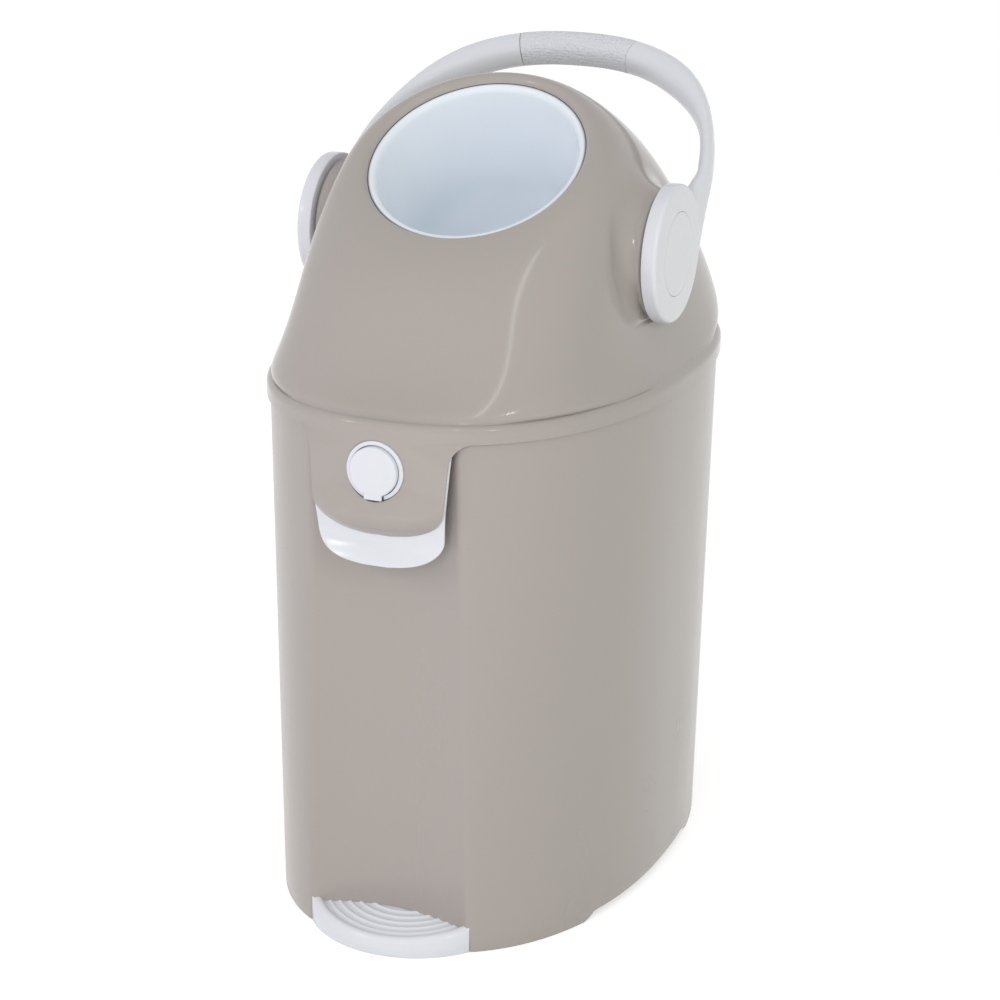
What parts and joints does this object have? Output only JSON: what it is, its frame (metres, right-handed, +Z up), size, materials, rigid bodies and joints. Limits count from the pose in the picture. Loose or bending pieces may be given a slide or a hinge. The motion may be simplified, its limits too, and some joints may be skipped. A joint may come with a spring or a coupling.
{
  "type": "nappy bin",
  "caption": "Free-standing oval nappy bin with a hinged domed lid and a carrying handle that turns a round drum to tip the nappy down into the pail.",
  "frame": {"origin": "On the floor, at the middle of the bin's bounding box", "axes": "+Z up; -Y to the front, where the apron, the button and the foot rest are; +X to the right as the front is seen from ahead"},
  "size_m": [0.3054, 0.4771, 0.6198],
  "materials": {
    "pail_plastic": "warm grey-taupe satin moulding",
    "dome_plastic": "warm grey-taupe gloss moulding",
    "white_plastic": "glossy cool white moulding",
    "grip_plastic": "white with a fine moulded grip texture",
    "bowl_plastic": "smooth bluish white",
    "bush_plastic": "grey self-lubricating plastic",
    "seal_rubber": "soft dark grey rubber",
    "steel": "zinc-plated steel"
  },
  "bodies": {
    "pail": {"pail_body": "pail_plastic", "foot_rest": "white_plastic", "foot_screws": "steel", "latch_keeper": "white_plastic", "hinge_pin": "steel"},
    "lid": {"lid_dome": "dome_plastic", "lid_frame": "white_plastic", "frame_screws": "steel", "rim_gasket": "seal_rubber", "mouth_seal": "seal_rubber", "chute_seal": "seal_rubber", "bush_left": "bush_plastic", "bush_right": "bush_plastic", "lift_tab": "white_plastic", "tab_screws": "steel", "button_bezel": "white_plastic", "hook_pin": "steel", "button_spring": "steel", "hook_spring": "steel"},
    "drum": {"drum_shell": "white_plastic", "bowl": "bowl_plastic", "drum_screws": "steel", "trunnion_left": "white_plastic", "trunnion_right": "white_plastic", "handle": "white_plastic", "handle_grip": "grip_plastic", "hub_screws": "steel", "hub_cap_left": "white_plastic", "hub_cap_right": "white_plastic"},
    "button": {"latch_button": "white_plastic"},
    "hook": {"latch_hook": "white_plastic"}
  },
  "joints": [
    {"name": "lid_hinge", "type": "hinge", "parent": "pail", "child": "lid", "pos_m": [0, 0.232, 0.388], "axis": [-1, 0, 0], "range_deg": [0, 95]},
    {"name": "handle_flip", "type": "hinge", "parent": "lid", "child": "drum", "pos_m": [0, -0.017, 0.4915], "axis": [1, 0, 0], "range_deg": [0, 146]},
    {"name": "button_press", "type": "slide", "parent": "lid", "child": "button", "axis": [0, 1, 0], "range_m": [0, 0.004], "stiffness_N_per_m": 400, "springref_m": -0.002, "deforming": ["button_spring"]},
    {"name": "hook_turn", "type": "hinge", "parent": "lid", "child": "hook", "pos_m": [0, -0.217, 0.354], "axis": [-1, 0, 0], "range_deg": [0, 16], "deforming": ["hook_spring"]}
  ],
  "couplings": [
    {"joint": "hook_turn", "follows": "button_press", "rad_per_m": 68.97}
  ]
}
